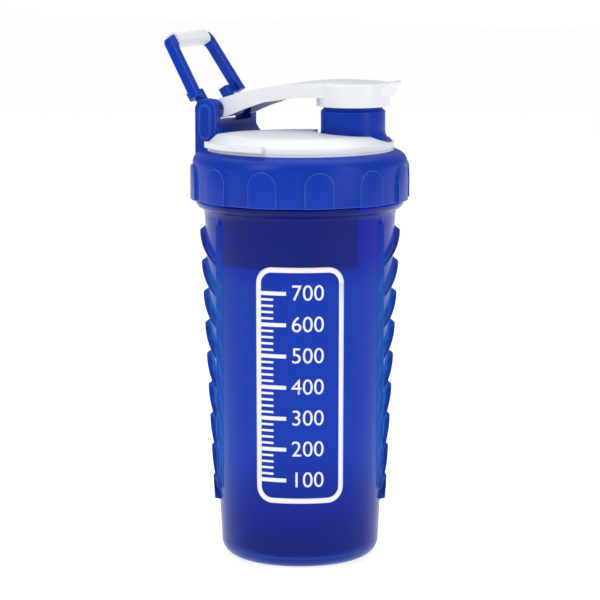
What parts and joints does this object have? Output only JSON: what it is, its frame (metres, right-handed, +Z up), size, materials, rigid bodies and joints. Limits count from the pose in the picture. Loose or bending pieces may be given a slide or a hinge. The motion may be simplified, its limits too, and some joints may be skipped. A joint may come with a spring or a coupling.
{
  "type": "protein shaker bottle",
  "caption": "Translucent tapered shaker cup with side grip ribs, screw lid, flip cap over the spout, folding carry loop and a lidded storage pocket.",
  "frame": {"origin": "on the cup's axis, in the plane of the ring it stands on", "axes": "+Z up the cup's axis, +X from the lid's hinge towards its spout"},
  "size_m": [0.1067, 0.0936, 0.2241],
  "materials": {
    "cup_plastic": "translucent cobalt blue polypropylene, satin",
    "lid_plastic": "satin blue polypropylene",
    "seal_rubber": "soft translucent silicone",
    "pocket_plastic": "satin navy polypropylene",
    "white_plastic": "satin white polypropylene",
    "pin_plastic": "smooth white pin",
    "grip_rubber": "soft white overmould"
  },
  "bodies": {
    "cup": {"cup": "cup_plastic"},
    "seal_ring": {"lid_seal": "seal_rubber"},
    "lid": {"lid": "lid_plastic", "mixing_grid": "lid_plastic", "storage_cup": "pocket_plastic", "hinge_pin": "pin_plastic"},
    "cover": {"storage_cover": "white_plastic", "cover_seal": "seal_rubber"},
    "flip_cap": {"flip_cap": "white_plastic", "spout_plug": "seal_rubber"},
    "carry_loop": {"carry_loop": "lid_plastic", "loop_grip": "grip_rubber"}
  },
  "joints": [
    {"name": "lid_lift", "type": "slide", "parent": "cup", "child": "seal_ring", "axis": [0, 0, 1], "range_m": [0, 0.00601]},
    {"name": "lid_turn", "type": "hinge", "parent": "seal_ring", "child": "lid", "pos_m": [0, 0, 0.155], "axis": [0, 0, 1], "range_deg": [0, 360]},
    {"name": "flip_cap_hinge", "type": "hinge", "parent": "lid", "child": "flip_cap", "pos_m": [-0.0384, 0.0055, 0.1917], "axis": [0, -1, 0], "range_deg": [0, 68]},
    {"name": "carry_loop_hinge", "type": "hinge", "parent": "lid", "child": "carry_loop", "pos_m": [-0.0384, 0.0055, 0.1917], "axis": [0, -1, 0], "range_deg": [0, 66]},
    {"name": "storage_cover_lift", "type": "slide", "parent": "lid", "child": "cover", "axis": [0, 0, 1], "range_m": [0, 0.006]}
  ],
  "couplings": [
    {"joint": "lid_lift", "follows": "lid_turn", "m_per_rad": 0.00095493}
  ]
}
